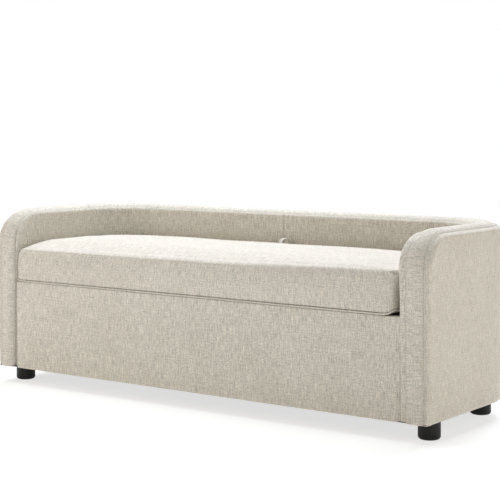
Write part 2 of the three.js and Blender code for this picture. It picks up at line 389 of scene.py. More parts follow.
def black_lacquer(name="black_feet", color=(0.010, 0.010, 0.011)):
    """Wood turned round and sprayed satin black, with a faint trace of grain and a little dust."""
    s = Shader(name, color, 0.42, Specular_IOR_Level=0.22, Coat_Weight=0.06, Coat_Roughness=0.35)
    grain = s.noise(s.mapped("Object", (260, 260, 14)), detail=3.0, rough=0.6)
    dust = s.noise(s.mapped("Object", (45, 45, 45), location=(0.3, 0.8, 0.1)), detail=4.0)
    s.color(s.ramp(dust, [(0.35, color), (0.75, (0.016, 0.015, 0.015))]))
    s.roughness(dust, 0.34, 0.52)
    s.relief(grain, 0.12, 0.25 * MM)
    return s.material


def wood(name, color, axis, coarse=1.0):
    """Sawn softwood or plywood face: long grain along one axis (0, 1 or 2), darker lines, small pores."""
    s = Shader(name, color, 0.62, Specular_IOR_Level=0.35)
    stretch = [60.0 * coarse] * 3
    stretch[axis] = 3.5 * coarse
    bands = s.noise(s.mapped("Object", stretch), scale=0.55, detail=4.0, rough=0.62, distortion=1.2)
    fine = [900.0] * 3
    fine[axis] = 28.0
    pores = s.noise(s.mapped("Object", fine), rough=0.6)
    grain = s.tones(bands, color, [(0.28, 0.66), (0.47, 0.94), (0.55, 1.05), (0.72, 0.84)])
    pore = s.ramp(pores, [(0.3, (0.82, 0.79, 0.74)), (0.6, (1, 1, 1))])
    s.color(s.multiplied(0.8, grain, pore))
    s.roughness(pores, 0.5, 0.7)
    s.relief(pores, 0.25, 0.3 * MM, s.relief(bands, 0.15, 0.8 * MM))
    return s.material


def nonwoven(name, color):
    """Pressed fibre cloth: a fine point-bonded grid and felted fibres."""
    s = Shader(name, color, 0.88, Sheen_Weight=0.1)
    fibres = s.noise(s.mapped("Object", (700, 500, 620)), detail=3.0, rough=0.7, distortion=1.5)
    cloud = s.noise(s.mapped("Object", (22, 26, 24)), detail=3.0)
    x, y, z = s.split(s.mapped("Object"))
    dots = s.times(s.ripple(x, 3.2 * MM), s.ripple(s.plus(y, z), 3.2 * MM))
    s.color(s.tones(s.blend(fibres, cloud, 0.6), color, [(0.35, 0.72), (0.65, 1.22)]))
    s.relief(dots, 0.3, 0.2 * MM, s.relief(fibres, 0.4, 0.4 * MM))
    return s.material


def zinc_steel(name="zinc_steel", color=(0.55, 0.56, 0.57)):
    """Zinc-plated steel with the lines of a 1.25 mm thread, dulled in long smears."""
    s = Shader(name, color, 0.35, Metallic=1.0)
    _, _, z = s.split(s.mapped("Object"))
    smear = s.noise(s.mapped("Object", (160, 160, 40)), detail=3.0)
    s.color(s.tones(smear, color, [(0.35, 0.75), (0.65, 1.15)]))
    s.roughness(smear, 0.22, 0.52)
    s.relief(s.ripple(z, 1.25 * MM), 0.5, 0.4 * MM)
    return s.material


def studio_floor(name="studio_floor", color=(0.92, 0.92, 0.90)):
    """A pale sweep with a little light of its own."""
    own_light = {"Emission_Color": (1, 1, 1, 1), "Emission_Strength": 0.38}
    s = Shader(name, color, 0.85, Specular_IOR_Level=0.1, **own_light)
    tone = s.noise(s.mapped("Object", (2, 2, 2)))
    s.color(s.tones(tone, color, [(0.3, 0.985), (0.7, 1.01)]))
    return s.material


def white_veil(name="floor_veil", near=0.5, clear_radius=1.5):
    """A thin white haze over the floor that only the camera sees: it keeps the bench's shadow light, and
    thickens away from the bench until floor and backdrop are one white."""
    s = Shader(name, (1, 1, 1), 1.0)
    x, y, _ = s.split(s.mapped("Object"))
    far = s.math("SQRT", s.plus(s.times(x, x), s.times(y, y)))
    thick = s.times(s.math("SUBTRACT", far, clear_radius, clamp=True), 1 - near)
    mix = s.node("MixShader", Fac=s.plus(thick, near))
    s.put(mix.inputs[1], s.node("BsdfTransparent").outputs[0])
    s.put(mix.inputs[2], s.node("Emission").outputs[0])
    s.surface_is(mix)
    return s.material


def white_glow(name="backdrop_white"):
    """Even white light."""
    s = Shader(name, (1, 1, 1), 1.0)
    s.surface_is(s.node("Emission"))
    return s.material

LINEN = linen("linen_body", contrast=1.15)
LINEN_OUTER = linen("linen_outer", seed=4.1, contrast=0.75)
LINEN_BAND = linen("linen_band", seed=1.3)
LINEN_SEAT = linen("linen_seat", seed=2.9, contrast=1.05)
WEBBING = webbing()
THREAD = thread()
FEET_BLACK = black_lacquer()


# ---------------------------------------------------------------- the wall: arms, rear corners and back
def wall_stations(step=7 * MM, nose_steps=20):
    """Places along the right half of the wall's edge, from the foot of the arm's front to the middle of the
    back: the outer and inner plan points, the outward plan normal, the height, the band's outward
    direction, the way from the arm's front (0) to its top (1), the length so far and the band's dome."""
    leg_top = TOP - NOSE
    leg = round((leg_top - WALL_FOOT) / step)
    # each pair holds the outer and the inner value
    arm = (HALF, HALF - WALL)
    corner = (HALF - OUTER_CORNER, HALF - WALL - INNER_CORNER)
    radius = (OUTER_CORNER, INNER_CORNER)
    arm_end = (BACK - OUTER_CORNER, BACK - WALL - INNER_CORNER)
    back = (BACK, BACK - WALL)
    rows = []

    def station(x, y, normal=(1, 0), z=TOP, up=(0, 0, 1), rise=1.0):
        rows.append((x[0], y[0], x[1], y[1], *normal, z, *up, rise))

    for z in np.linspace(WALL_FOOT, leg_top, leg + 1):
        station(arm, (FRONT, FRONT), z=z, up=(0, -1, 0), rise=0.0)
    start = FRONT + NOSE
    for t in np.linspace(0, math.pi / 2, nose_steps + 1)[1:]:
        c, s = math.cos(t), math.sin(t)
        y = start - NOSE * c
        station(arm, (y, y), z=leg_top + NOSE * s, up=(0, -c, s), rise=s)
    for t in np.linspace(0, 1, round((arm_end[0] - start) / step) + 1)[1:]:
        station(arm, [start + t * (end - start) for end in arm_end])
    for t in np.linspace(0, math.pi / 2, round(math.pi / 2 * OUTER_CORNER / step) + 1)[1:]:
        c, s = math.cos(t), math.sin(t)
        x = [middle + r * c for middle, r in zip(corner, radius)]
        y = [middle + r * s for middle, r in zip(arm_end, radius)]
        station(x, y, normal=(c, s))
    for t in np.linspace(1, 0, round(corner[0] / step) + 1)[1:]:
        station([x * t for x in corner], back, normal=(0, 1))
    outer, inner, normal, z, up, rise = np.split(np.array(rows), [2, 4, 6, 7, 10], axis=1)
    return {
        "outer": outer,
        "inner": inner,
        "normal": normal,
        "z": z[:, 0],
        "up": up,
        "rise": rise[:, 0],
        "leg": leg,
        "nose": leg + nose_steps,
        "along": running_length(np.column_stack([(outer + inner) / 2, z])),
        "dome": DOME_LEG + (DOME_TOP - DOME_LEG) * rise[:, 0] ** 2,
    }


WALL_PATH = wall_stations()


def section_points(path, across, height):
    """Points of the wall's cross-section, across metres in from the outer face and height metres out from
    the band's crown. across and height have one row for each place along the path."""
    share = np.asarray(across)[..., None] / WALL
    outer = path["outer"][:, None, :]
    inner = path["inner"][:, None, :]
    plan = outer + (inner - outer) * share
    z = np.broadcast_to(path["z"][:, None, None], plan.shape[:2] + (1,))
    return np.concatenate([plan, z], axis=2) + path["up"][:, None, :] * np.asarray(height)[..., None]


def band_fall(path, across, side):
    """How far the band lies below its crown, across metres in from the outer face: domed between the seams,
    and on the arms' fronts falling away a little more towards the inner seam."""
    low, high = SEAM, WALL - SEAM
    across = np.asarray(across, float)
    x = np.clip(1 - np.abs(across - (low + high) / 2) / ((high - low) / 2), 0, 1)
    fall = path["dome"][:, None] * ((1 - x) ** 2.2)[None, :]
    reach = 26 * MM
    near_inside = np.clip((across - high + reach) / reach, 0, 1) ** 1.8
    on_front = 1 - path["rise"] ** 2
    return fall + INNER_FALL[side] * on_front[:, None] * near_inside[None, :]


def swell(outer_side, side, y, z):
    """How far the padding pushes the cover out past the wall's nominal face, at heights z and depths y."""
    if outer_side:
        levels = [WALL_FOOT, WALL_FOOT + 60 * MM, TOP - 60 * MM, TOP]
        return np.interp(z, levels, [3.0 * MM, 6.2 * MM, 6.2 * MM, 3.0 * MM])
    if side > 0:
        levels = [WALL_FOOT, LID_REST - 50 * MM, LID_REST + 60 * MM, TOP - NOSE, TOP - 40 * MM, TOP]
        full = np.interp(z, levels, [4.5 * MM, 6.0 * MM, 9.0 * MM, 12.0 * MM, 13.0 * MM, 7.0 * MM])
    else:
        levels = [LID_REST, LID_REST + 60 * MM, TOP - NOSE, TOP]
        full = np.interp(z, levels, [-3.0 * MM, -2.0 * MM, 0.0, 1.0 * MM])
    return full * np.exp(-np.maximum(y - FRONT, 0) / (130 * MM))


def edge_size(outer_side, side):
    """Width and depth of a cover's soft edge on the arm's front, and then along the top."""
    if outer_side:
        return (9 * MM, 16 * MM), (SEAM - 2.6 * MM, 9 * MM)
    on_leg = (5 * MM, 5 * MM) if side > 0 else (10 * MM, 18 * MM)
    return on_leg, (9 * MM, 10 * MM)


def cover_profile(path, outer_side, side):
    """The cover's edge in each section, from the flat face, round the soft corner, over to the seam and down
    into its groove: how far in from the outer face, how far above the band's crown, how far below the crown
    the edge begins, and how far the padding pushes it out."""
    rise = path["rise"] ** 2
    on_leg, on_top = edge_size(outer_side, side)
    width, depth = (leg * (1 - rise) + top * rise for leg, top in zip(on_leg, on_top))
    bevel = (0.85 if outer_side else 0.0) * rise
    drop = 17 * MM
    rows = [(0.0, -(depth + drop * share)) for share in (1.0, 0.5)]
    for t in np.linspace(0, math.pi / 2, 10):
        curve = (1 - bevel) * math.sin(t) + bevel * (1 - math.cos(t))
        rows.append((width - width * math.cos(t), -depth + depth * curve))
    for before, level in ((2.3, 0.05), (1.5, 0.0), (0.8, -0.2), (0.35, -0.5)):
        rows.append((SEAM - before * MM, level * MM))
    rows.append((SEAM - 0.12 * MM, -GROOVE if outer_side else -INNER_GROOVE))
    across, above = (np.array([np.broadcast_to(v, rise.shape) for v in part]).T for part in zip(*rows))
    off_stitch = (across - (SEAM - STITCH_OFFSET)) / (1.2 * MM)
    above = above - STITCH_CHANNEL * np.exp(-(off_stitch**2)) * (above > -3 * MM)
    fall = band_fall(path, [SEAM if outer_side else WALL - SEAM], side)[:, 0]
    inset = depth + drop + fall
    plan_y = (path["outer"] if outer_side else path["inner"])[:, 1]
    border_y = plan_y - path["up"][:, 1] * inset
    push = swell(outer_side, side, border_y, path["z"] - path["up"][:, 2] * inset)[:, None]
    push = push * soft_fade(across, SEAM)
    if not outer_side:
        across = WALL - across
    return across, above - fall[:, None], inset, push


def wall_cover(name, outer_side, floor_z, material):
    """One of the wall's two big faces with its soft edge, up to the seam beside the band."""
    path = WALL_PATH
    plan = path["outer"] if outer_side else path["inner"]
    run = running_length(plan)
    total = run[-1]
    leg, nose = path["leg"], path["nose"]
    rise, ahead = path["up"][:, 2], -path["up"][:, 1]
    cloth = Cloth()
    for side in (1, -1):
        mirror = np.array([side, 1, 1])
        across, above, inset, push = cover_profile(path, outer_side, side)
        points = section_points(path, across, above)
        outward = path["normal"] * (1 if outer_side else -1)
        points[..., :2] += outward[:, None, :] * push[..., None]
        # the border between this edge and the flat face: its own place on the flat cloth
        border_u = run + inset * ahead
        border_v = path["z"] - inset * rise
        steps = np.hypot(np.diff(across, axis=1), np.diff(above, axis=1))
        lengths = np.hstack([np.zeros((len(run), 1)), np.cumsum(steps, axis=1)])
        u = total - (border_u[:, None] - lengths * ahead[:, None])
        v = border_v[:, None] + lengths * rise[:, None]
        turned = outer_side == (side > 0)
        cloth.grid(points * mirror, np.dstack([u * side, v]), flip=turned)
        # the face inside the border: columns at the border's places along the wall, rows at its heights
        columns = np.arange(leg, len(run))
        heights = border_v[: nose + 1]
        x = np.where(columns <= nose, plan[leg, 0], plan[columns, 0])
        y = plan[columns, 1] + inset[columns] * ahead[columns]
        z_grid, x_grid = np.meshgrid(heights, x, indexing="ij")
        _, y_grid = np.meshgrid(heights, y, indexing="ij")
        push = swell(outer_side, side, y_grid, z_grid)
        normal = outward[columns]
        face = np.dstack([x_grid + normal[:, 0] * push, y_grid + normal[:, 1] * push, z_grid])
        place = np.dstack([np.broadcast_to((total - border_u[columns]) * side, z_grid.shape), z_grid])

        def keep(r, c):
            if heights[r] < floor_z - 0.1 * MM:
                return []
            step = r - leg
            if step < 0 or c > step:
                return [0, 1, 2, 3]
            if c == step:
                return [0, 1, 2]
            return []

        cloth.grid(face * mirror, place, keep=keep, flip=not turned)
    return cloth.make(name, material)


def hem(obj, level, depth):
    """Turns the cloth's lowest edge under, inwards."""
    bm = bmesh.new()
    bm.from_mesh(obj.data)
    bm.normal_update()
    edges = [e for e in bm.edges if e.is_boundary and all(v.co.z < level + 0.05 * MM for v in e.verts)]
    made = bmesh.ops.extrude_edge_only(bm, edges=edges)
    fresh = [v for v in made["geom"] if isinstance(v, bmesh.types.BMVert)]
    ways = {}
    for v in fresh:
        old = [e.other_vert(v) for e in v.link_edges if e.other_vert(v) not in fresh]
        source = min(old, key=lambda o: (o.co - v.co).length)
        normal = source.normal.copy()
        normal.z = 0
        ways[v] = normal.normalized()
    for v, way in ways.items():
        v.co -= way * depth
    bm.normal_update()
    bm.to_mesh(obj.data)
    bm.free()
    return obj


def band_mesh(name, material):
    """The facing that runs up the arm's front, over the nose and along the top, domed between its seams."""
    path = WALL_PATH
    left, right = SEAM, WALL - SEAM
    beside = [0.12, 0.35, 0.9, 1.9, 2.9, 4.0, 5.2]
    middle = np.linspace(left + 7.2 * MM, right - 7.2 * MM, 22)
    near_left = [left + d * MM for d in beside]
    near_right = [right - d * MM for d in reversed(beside)]
    across = np.array(near_left + list(middle) + near_right)
    edge = np.minimum(across - left, right - across)
    detail = np.select(
        [edge < 0.2 * MM, edge < 0.6 * MM, np.abs(edge - STITCH_OFFSET) < 0.1 * MM],
        [-GROOVE, -0.45 * MM, -0.45 * MM],
        0.0,
    )
    detail = np.where(across > WALL / 2, detail * INNER_GROOVE / GROOVE, detail)
    total = path["along"][-1]
    cloth = Cloth()
    for side in (1, -1):
        height = detail[None, :] - band_fall(path, across, side)
        points = section_points(path, np.broadcast_to(across, height.shape), height) * np.array([side, 1, 1])
        along = np.broadcast_to((total - path["along"])[:, None], height.shape) * side
        cloth.grid(points, np.dstack([along, np.broadcast_to(across, height.shape)]), flip=side > 0)
    return cloth.make(name, material)


def tube_faces(base, rings, sides):
    """The faces of a tube with closed ends, whose rings of points start at number base."""
    faces = []
    last = base + (rings - 1) * sides
    for start in range(base, last, sides):
        for q in range(sides):
            n = (q + 1) % sides
            faces.append([start + q, start + n, start + sides + n, start + sides + q])
    faces.append([base + q for q in reversed(range(sides))])
    faces.append([last + q for q in range(sides)])
    return faces


def at_length(values, run, length):
    """What the values along a line are at a length from its start."""
    return np.array([np.interp(length, run, values[:, i]) for i in range(3)])


def stitch_rows(name, lines, material, length=2.9 * MM, pitch=4.1 * MM, radius=0.42 * MM):
    """Sewing stitches along lines of points with their outward directions: bowed spindles, half sunk."""
    verts, faces = [], []
    rings, sides = 5, 6
    for points, normals in lines:
        run = running_length(points)
        for k in range(int(run[-1] / pitch)):
            middle = (k + 0.5) * pitch
            start, bow, end = (at_length(points, run, middle + part * length) for part in (-0.5, 0, 0.5))
            normal = unit(at_length(normals, run, middle))
            side = np.cross(normal, unit(end - start))
            faces += tube_faces(len(verts), rings, sides)
            for t in np.linspace(0, 1, rings):
                place = start * (1 - t) + end * t + (bow - (start + end) / 2) * 4 * t * (1 - t)
                size = radius * (0.35 + 0.65 * math.sin(math.pi * (0.08 + 0.84 * t)))
                lift = 0.25 * MM * math.sin(math.pi * t) - 0.1 * MM
                for a in np.linspace(0, 2 * math.pi, sides, endpoint=False):
                    verts.append(place + normal * (lift + size * math.sin(a)) + side * size * math.cos(a))
    mesh = bpy.data.meshes.new(name)
    mesh.from_pydata([tuple(v) for v in verts], [], faces)
    mesh.polygons.foreach_set("use_smooth", [True] * len(mesh.polygons))
    mesh.materials.append(material)
    obj = new_object(name, mesh)
    bm = bmesh.new()
    bm.from_mesh(mesh)
    bmesh.ops.recalc_face_normals(bm, faces=bm.faces)
    bm.to_mesh(mesh)
    bm.free()
    return obj


def wall_stitch_lines():
    """Two rows of topstitching along each of the band's seams."""
    path = WALL_PATH
    lines = []
    for seam in (SEAM, WALL - SEAM):
        for step in (-STITCH_OFFSET, STITCH_OFFSET):
            across = seam + step
            on_band = SEAM < across < WALL - SEAM
            for side in (1, -1):
                height = -band_fall(path, [across if on_band else seam], side) - 0.35 * MM
                points = section_points(path, np.full((len(height), 1), across), height)[:, 0, :]
                lines.append((points * np.array([side, 1, 1]), path["up"]))
    return lines


def make_wall():
    """The wall's outer and inner covers and its facing band, with the topstitching beside the seams."""
    outer = wall_cover("outer_cover_cloth", True, WALL_FOOT, LINEN_OUTER)
    inner = wall_cover("inner_cover_cloth", False, LID_REST + 2 * MM, LINEN)
    band = band_mesh("facing_band_cloth", LINEN_BAND)
    for piece, nodes, fill in (
        (outer, ("outer_cover", "outer_pad"), 0.8),
        (inner, ("inner_cover", "inner_pad"), 0.8),
        (band, ("facing_band", "top_pad"), 0.7),
    ):
        hem(piece, WALL_FOOT, 3 * MM if piece is inner else 9 * MM)
        co = coordinates(piece)
        droop = straight_fade(co[:, 2] - WALL_FOOT, 14 * MM) * straight_fade(co[:, 1] - FRONT, 22 * MM)
        co[:, 2] -= 2.4 * MM * droop
        set_coordinates(piece, co)
        thicken(piece)
        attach(piece, "bench")
        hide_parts(*nodes)
    stitches = stitch_rows("wall_topstitching", wall_stitch_lines(), THREAD)
    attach(stitches, "bench")


# ---------------------------------------------------------------- padded slab with rounded edges
def edge_marks(low, high, radius, step, steps=4):
    """Values from low to high: close together over the rounded ends, even between them."""
    roll = [radius * math.tan(math.pi / 4 * i / steps) for i in range(steps + 1)]
    ends_low = [low + radius - r for r in reversed(roll)]
    ends_high = [high - radius + r for r in roll]
    count = max(1, round((high - low - 2 * radius) / step))
    middle = list(np.linspace(low + radius, high - radius, count + 1))[1:-1]
    return ends_low + middle + ends_high


def rounded_slab(name, low, high, radius, step, material):
    """A closed box with rounded edges and even quads, its cloth places developed from the front face."""
    low, high = np.array(low), np.array(high)
    marks = [edge_marks(low[k], high[k], radius, step) for k in range(3)]
    cloth = Cloth()

    def rounded(p):
        core = np.clip(p, low + radius, high - radius)
        way = p - core
        size = np.linalg.norm(way, axis=-1, keepdims=True)
        return core + way / np.maximum(size, 1e-12) * np.minimum(size, radius)

    def side(axis, at, first, second, flip):
        a, b = np.meshgrid(marks[first], marks[second])
        p = np.zeros(a.shape + (3,))
        p[..., axis] = at
        p[..., first] = a
        p[..., second] = b
        u, v = p[..., 0].copy(), p[..., 2].copy()
        depth = p[..., 1] - low[1]
        if axis == 2:
            v = v + depth if at > low[2] + radius else v - depth
        if axis == 0:
            u = u + depth if at > 0 else u - depth
        cloth.grid(rounded(p), np.dstack([u, v]), flip=flip)

    side(1, low[1], 0, 2, False)
    side(1, high[1], 0, 2, True)
    side(0, high[0], 1, 2, False)
    side(0, low[0], 1, 2, True)
    side(2, high[2], 0, 1, False)
    side(2, low[2], 0, 1, True)
    return cloth.make(name, material)


def make_front_panel():
    """The padded front of the box, between the arms."""
    left_gap, right_gap = 3.4 * MM, 1.8 * MM
    low = (panel_low.x + left_gap, panel_low.y, panel_low.z - 2.0 * MM)
    high = (panel_high.x - right_gap, panel_high.y, panel_high.z)
    panel = rounded_slab("front_panel_cloth", low, high, 3.0 * MM, 9 * MM, LINEN)
    co = coordinates(panel)
    soft = 0.5 * MM * waves(co * np.array([1, 0, 1]), 0.22, 11)
    front = smoothstep((FRONT + 9 * MM - co[:, 1]) / (6 * MM))
    above_or_below = np.minimum(panel_high.z - co[:, 2], co[:, 2] - panel_low.z)
    edge = np.minimum(panel_high.x - np.abs(co[:, 0]), above_or_below)
    co[:, 1] += front * (smoothstep(edge / (40 * MM)) * soft + 0.6 * MM * soft_fade(edge, 30 * MM))
    co[:, 1] += 5 * MM * straight_fade(high[0] - co[:, 0], 24 * MM) ** 2 * front
    set_coordinates(panel, co)
    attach(panel, "bench")
    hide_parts("front_cover", "front_pad")
    return panel


# ---------------------------------------------------------------- the seat
SEAT_LEFT_CORNER = 13 * MM
SEAT_RIGHT_CORNER = 30 * MM
SEAT_REAR_CORNER = INNER_CORNER - 3 * MM
SEAT_CENTRE_SEAM = seat_high.z - 21 * MM
CUSHION_RIM = LID_REST + 5.0 * MM


def arc_line(centre, radius, start, end, steps):
    """Points along an arc, from one angle to another."""
    angles = np.linspace(start, end, steps + 1)
    return np.column_stack([centre[0] + radius * np.cos(angles), centre[1] + radius * np.sin(angles)])


def share_across(points):
    """How far across the seat points lie: 0 at its left side, 1 at its right side."""
    return (points[:, 0] - seat_low.x) / (seat_high.x - seat_low.x)


def seat_outline(inset, across=124, deep=36):
    """Four sides of the seat's plan outline, set in by inset, each from corner middle to corner middle:
    front, right, back, left, counter-clockwise from the front left. Points lie closer round the corners."""
    x0, x1 = seat_low.x + inset, seat_high.x - inset
    y0, y1 = seat_low.y + inset, seat_high.y - inset
    f = max(SEAT_LEFT_CORNER - inset, 2.5 * MM)
    g = max(SEAT_RIGHT_CORNER - inset, 2.5 * MM)
    b = SEAT_REAR_CORNER - inset
    tight, wide = 5, 11
    front_left = (x0 + f, y0 + f), f, tight
    front_right = (x1 - g, y0 + g), g, tight
    rear_right = (x1 - b, y1 - b), b, wide
    rear_left = (x0 + b, y1 - b), b, wide
    # each corner's arc is cut in half; the number says which eighth of a turn each half covers
    halves = [(front_left, 5), (front_right, 6), (front_right, 7), (rear_right, 0)]
    halves += [(rear_right, 1), (rear_left, 2), (rear_left, 3), (front_left, 4)]
    arcs = []
    for (centre, radius, steps), eighth in halves:
        arcs.append(arc_line(centre, radius, eighth * math.pi / 4, (eighth + 1) * math.pi / 4, steps))
    sides = []
    for k, count in enumerate((across, deep, across, deep)):
        first, last = arcs[2 * k], arcs[2 * k + 1]
        inner = count - (len(first) - 1) - (len(last) - 1)
        share = np.linspace(0, 1, inner + 1)[1:-1, None]
        straight = first[-1] * (1 - share) + last[0] * share
        sides.append(np.vstack([first, straight, last]))
    return sides


def coons(sides):
    """A grid of plan points inside four sides, by the Coons rule."""
    front, right, back, left = sides[0], sides[1], sides[2][::-1], sides[3][::-1]
    columns, rows = len(front), len(left)
    s = np.linspace(0, 1, columns)[None, :, None]
    t = np.linspace(0, 1, rows)[:, None, None]
    across = left[:, None, :] * (1 - s) + right[:, None, :] * s
    along = front[None, :, :] * (1 - t) + back[None, :, :] * t
    corners = (front[0] * (1 - s) + front[-1] * s) * (1 - t) + (back[0] * (1 - s) + back[-1] * s) * t
    return across + along - corners


def ring_of(inset):
    """The outline as one closed ring, counter-clockwise."""
    sides = seat_outline(inset)
    return np.vstack([side[:-1] for side in sides])


def edge_roll(ring):
    """Radius of the cushion's rolled top edge at each point round it: large and soft at the front left,
    smaller towards the front right, and even along the back and the ends."""
    shares = [0, 0.12, 0.5, 0.85, 1]
    at_front = np.interp(share_across(ring), shares, [46 * MM, 44 * MM, 32 * MM, 17 * MM, 12 * MM])
    behind = smoothstep((ring[:, 1] - seat_low.y) / (60 * MM))
    return at_front + (14 * MM - at_front) * behind


def seam_height(ring):
    """Height of the seam between the cushion's top and its side band: it droops at the front corners."""
    droop = np.interp(share_across(ring), [0, 0.03, 0.12, 0.93, 1], [7 * MM, 6 * MM, 0.0, 0.0, 3 * MM])
    return SEAT_CENTRE_SEAM - droop * soft_fade(ring[:, 1] - seat_low.y, 60 * MM)


def cushion_side(shrink):
    """Rows of points up the cushion's side and over its rolled edge to the flat top: the ring at its foot,
    each row's plan inset and height, the length of cloth up to it, and the number of the seam's row."""
    rows = 8
    top = seat_high.z - shrink + 2 * MM
    ring = ring_of(shrink)
    roll = edge_roll(ring)
    foot = CUSHION_RIM + 4 * MM
    base = top - roll
    seam = seam_height(ring) - shrink * 0.5
    lean = np.arcsin(np.clip((seam - base) / roll, 0, 1))
    seam_run = np.where(seam < base, seam - foot, base - foot + roll * lean)
    total = base - foot + roll * math.pi / 2
    beside = [-5.0 * MM, -2.2 * MM, 0.0, 2.2 * MM, 5.0 * MM]
    runs = [(seam_run + beside[0]) * share for share in np.linspace(0, 1, rows + 1)[:-1]]
    runs += [seam_run + step for step in beside]
    start = seam_run + beside[-1]
    runs += [start + (total - start) * share for share in np.linspace(0, 1, rows + 1)[1:]]
    runs = np.array(runs)
    angle = np.clip((runs - (base - foot)) / roll, 0, math.pi / 2)
    inset = roll * (1 - np.cos(angle))
    height = np.minimum(foot + runs, base) + roll * np.sin(angle)
    return ring, inset, height, runs, rows + beside.index(0.0)


def cushion_mesh(name, shrink, material):
    """The seat cushion's cover: a boxed side band, a seam below the top edge, and the top panel rolled over
    it. Also gives the seam's points, and those of the rows beside it."""
    bottom = seat_low.z + 0.5 * MM
    ring, inset, height, runs, seam_row = cushion_side(shrink)
    reach = 60 * MM
    inward = (ring_of(shrink + reach) - ring) / reach
    side = ring[None] + inward[None] * inset[..., None]
    side = np.dstack([side, height])
    turn_under = [
        (18 * MM, bottom, -22 * MM),
        (9 * MM, bottom, -13 * MM),
        (3 * MM, CUSHION_RIM + 0.2 * MM, -6.5 * MM),
        (1.1 * MM, CUSHION_RIM + 0.9 * MM, -4 * MM),
        (0.2 * MM, CUSHION_RIM + 2.3 * MM, -2 * MM),
    ]
    under, under_run = [], []
    for step, level, run in turn_under:
        under.append(np.column_stack([ring + inward * step, np.full(len(ring), level)]))
        under_run.append(np.full(len(ring), run))
    points = np.concatenate([np.array(under), side])
    runs = np.concatenate([np.array(under_run), runs])
    seam_row += len(under)
    along = running_length(np.vstack([ring, ring[:1]]))
    closed = np.concatenate([points, points[:, :1]], axis=1)
    closed_runs = np.concatenate([runs, runs[:, :1]], axis=1)
    cloth = Cloth()
    band_places = np.dstack([np.broadcast_to(along, closed_runs.shape), closed_runs])
    cloth.grid(closed[: seam_row + 1], band_places[: seam_row + 1])
    # above the seam the cloth belongs to the top panel: its place is its plan point, pushed outward
    edge = closed[-1][:, :2]
    outward = unit(closed[0][:, :2] - edge)
    fold = closed_runs[-1][None] - closed_runs[seam_row:]
    cloth.grid(closed[seam_row:], edge[None] + outward[None] * fold[..., None])
    for row, flip in ((points[-1], False), (points[0], True)):
        corners = np.cumsum([0] + [len(part) - 1 for part in seat_outline(shrink)])
        loop = np.vstack([row, row[:1]])
        sides = [loop[i : j + 1] for i, j in zip(corners, corners[1:])]
        inside = coons(sides)
        cloth.grid(inside, inside[..., :2], flip=flip)
    obj = cloth.make(name, material)
    return obj, points[seam_row], np.concatenate([points[seam_row - 1], points[seam_row + 1]])


def nearest_points(obj, points):
    """Indices of the object's points at the given places."""
    tree = kdtree.KDTree(len(obj.data.vertices))
    for v in obj.data.vertices:
        tree.insert(v.co, v.index)
    tree.balance()
    return sorted({tree.find(Vector(p))[1] for p in points})


def push_along_normals(obj, indices, distance):
    """Moves some of the object's points out from its surface."""
    co = coordinates(obj)
    co[indices] += vectors(obj.data.vertices, "normal")[indices] * distance
    set_coordinates(obj, co)


def inflate(obj, pinned, frames=20, pressure=0.3, cap=8 * MM, hollow=1.0 * MM, stiffness=30.0):
    """Blender's cloth, blown up a little from inside; the pinned points stay. The foam lets the cloth sink
    or slide no further than hollow, and it stands out at most cap. The result replaces the mesh."""
    group = obj.vertex_groups.new(name="pin")
    for weight in sorted(set(np.round(pinned, 2))):
        chosen = np.nonzero(np.round(pinned, 2) == weight)[0]
        if weight > 0:
            group.add([int(i) for i in chosen], float(weight), "REPLACE")
    before = coordinates(obj)
    cloth = obj.modifiers.new("cloth", "CLOTH")
    settings = cloth.settings
    settings.quality = 6
    settings.mass = 0.4
    settings.tension_stiffness = stiffness
    settings.compression_stiffness = stiffness
    settings.shear_stiffness = 8
    settings.bending_stiffness = 2.5
    settings.use_pressure = True
    settings.uniform_pressure_force = pressure
    settings.vertex_group_mass = "pin"
    settings.effector_weights.gravity = 0
    cloth.collision_settings.use_collision = False
    cloth.point_cache.frame_start = 1
    cloth.point_cache.frame_end = frames
    scene = bpy.context.scene
    for number in range(1, frames + 1):
        scene.frame_set(number)
    graph = bpy.context.evaluated_depsgraph_get()
    after = coordinates(obj.evaluated_get(graph))
    obj.modifiers.remove(cloth)
    obj.vertex_groups.remove(group)
    scene.frame_set(1)
    move = after - before
    normals = vectors(obj.data.vertices, "normal")
    out = (move * normals).sum(1)
    along = move - normals * out[:, None]
    slide = np.linalg.norm(along, axis=1)
    along *= (hollow * np.tanh(slide / hollow) / np.maximum(slide, 1e-9))[:, None]
    swelling = np.where(out > 0, cap * np.tanh(out / cap), hollow * np.tanh(out / hollow))
    set_coordinates(obj, before + normals * swelling[:, None] + along)
    return obj


def slope_front(co):
    """The top panel slopes down to its front seam, most at the left."""
    co = co.copy()
    drop = np.interp(share_across(co), [0, 0.6, 0.85, 1], [12 * MM, 10 * MM, 3 * MM, 0])
    near = soft_fade(co[:, 1] - seat_low.y - 20 * MM, 110 * MM)
    above = np.maximum(co[:, 2] - SEAT_CENTRE_SEAM, 0) / (seat_high.z - SEAT_CENTRE_SEAM)
    co[:, 2] -= above * drop * near
    return co


def settle(co):
    """How the worn seat lies: its lower front corners curl up, and its right side is pulled in."""
    co = co.copy()
    right = seat_high.x - co[:, 0]
    left = co[:, 0] - seat_low.x
    front = co[:, 1] - seat_low.y
    height = co[:, 2] - seat_low.z
    lift_right = 16 * MM * straight_fade(right, 37 * MM) ** 1.15
    lift_left = 9 * MM * straight_fade(left, 16 * MM) ** 1.6
    co[:, 2] += (lift_right + lift_left) * soft_fade(height, 70 * MM) * soft_fade(front, 70 * MM)
    pulled = soft_fade(right, 30 * MM) * soft_fade(front, 150 * MM)
    co[:, 0] -= (4 * MM + 5 * MM * soft_fade(height - 40 * MM, 65 * MM)) * pulled
    return co


